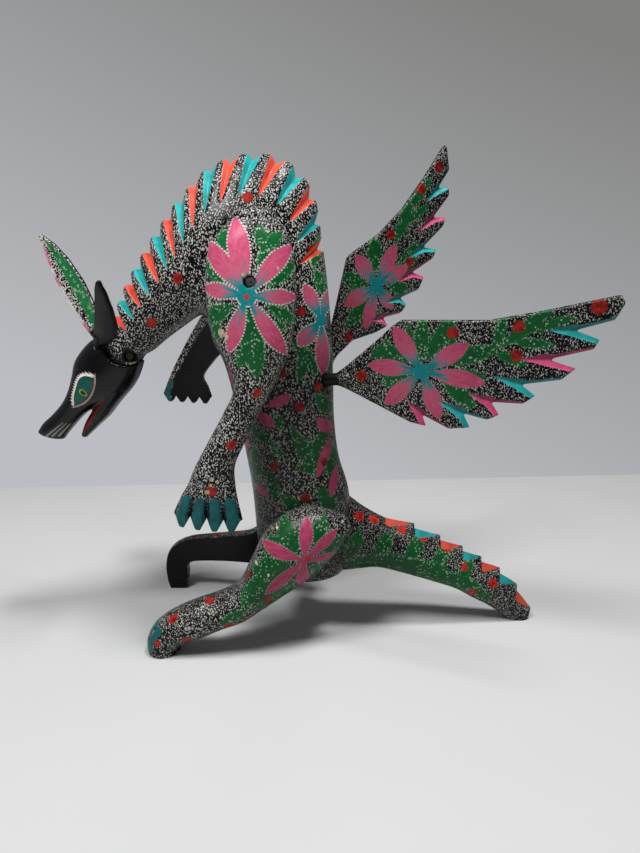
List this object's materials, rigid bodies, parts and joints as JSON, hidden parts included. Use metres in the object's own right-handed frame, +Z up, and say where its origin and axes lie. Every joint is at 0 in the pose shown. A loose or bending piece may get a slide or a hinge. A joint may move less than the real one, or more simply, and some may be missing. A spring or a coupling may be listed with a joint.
{
  "type": "alebrije figure",
  "caption": "Carved and painted wooden dragon that stands on its hind feet and tail, with plug-in wings and ears that turn and pull off.",
  "frame": {"origin": "middle of the figure's box, on the surface it stands on", "axes": "+Z up, the head looks towards -X, the tail and wings point to +X, the figure's left side is -Y"},
  "size_m": [0.4411, 0.2157, 0.4138],
  "materials": {
    "speckled_paint": "gloss",
    "leaf_green_paint": "gloss",
    "black_lacquer": "gloss",
    "ear_green_paint": "gloss",
    "feather_paint": "gloss",
    "bare_wood": "matte",
    "nail_steel": "satin"
  },
  "bodies": {
    "carving": {"body": "speckled_paint", "tail": "speckled_paint", "head": "black_lacquer", "left_arm": "speckled_paint", "right_arm": "speckled_paint", "left_leg": "leaf_green_paint", "right_leg": "leaf_green_paint", "neck_dowel": "bare_wood", "neck_pin": "bare_wood", "tail_dowel": "bare_wood", "left_hip_dowel": "bare_wood", "right_hip_dowel": "bare_wood", "left_shoulder_nail": "nail_steel", "right_shoulder_nail": "nail_steel"},
    "left_wing_peg": {"left_wing_peg": "bare_wood"},
    "left_wing": {"left_wing": "feather_paint"},
    "left_ear_peg": {"left_ear_peg": "bare_wood"},
    "left_ear": {"left_ear": "ear_green_paint"},
    "right_wing_peg": {"right_wing_peg": "bare_wood"},
    "right_wing": {"right_wing": "feather_paint"},
    "right_ear_peg": {"right_ear_peg": "bare_wood"},
    "right_ear": {"right_ear": "ear_green_paint"}
  },
  "joints": [
    {"name": "left_wing_turn", "type": "hinge", "parent": "carving", "child": "left_wing_peg", "pos_m": [0.0275, -0.0235, 0.219], "axis": [0.9115, -0.3869, 0.1392], "range_deg": [-25, 25]},
    {"name": "left_wing_pull", "type": "slide", "parent": "left_wing_peg", "child": "left_wing", "axis": [0.9115, -0.3869, 0.1392], "range_m": [0, 0.015]},
    {"name": "left_ear_turn", "type": "hinge", "parent": "carving", "child": "left_ear_peg", "pos_m": [-0.1595, -0.0165, 0.247], "axis": [0.287, -0.7103, 0.6428], "range_deg": [-20, 20]},
    {"name": "left_ear_pull", "type": "slide", "parent": "left_ear_peg", "child": "left_ear", "axis": [0.287, -0.7103, 0.6428], "range_m": [0, 0.006]},
    {"name": "right_wing_turn", "type": "hinge", "parent": "carving", "child": "right_wing_peg", "pos_m": [0.0175, 0.0205, 0.216], "axis": [0.524, 0.2333, 0.8192], "range_deg": [-25, 25]},
    {"name": "right_wing_pull", "type": "slide", "parent": "right_wing_peg", "child": "right_wing", "axis": [0.524, 0.2333, 0.8192], "range_m": [0, 0.015]},
    {"name": "right_ear_turn", "type": "hinge", "parent": "carving", "child": "right_ear_peg", "pos_m": [-0.1685, 0.0095, 0.25], "axis": [-0.4724, 0.1091, 0.8746], "range_deg": [-30, 30]},
    {"name": "right_ear_pull", "type": "slide", "parent": "right_ear_peg", "child": "right_ear", "axis": [-0.4724, 0.1091, 0.8746], "range_m": [0, 0.006]}
  ]
}
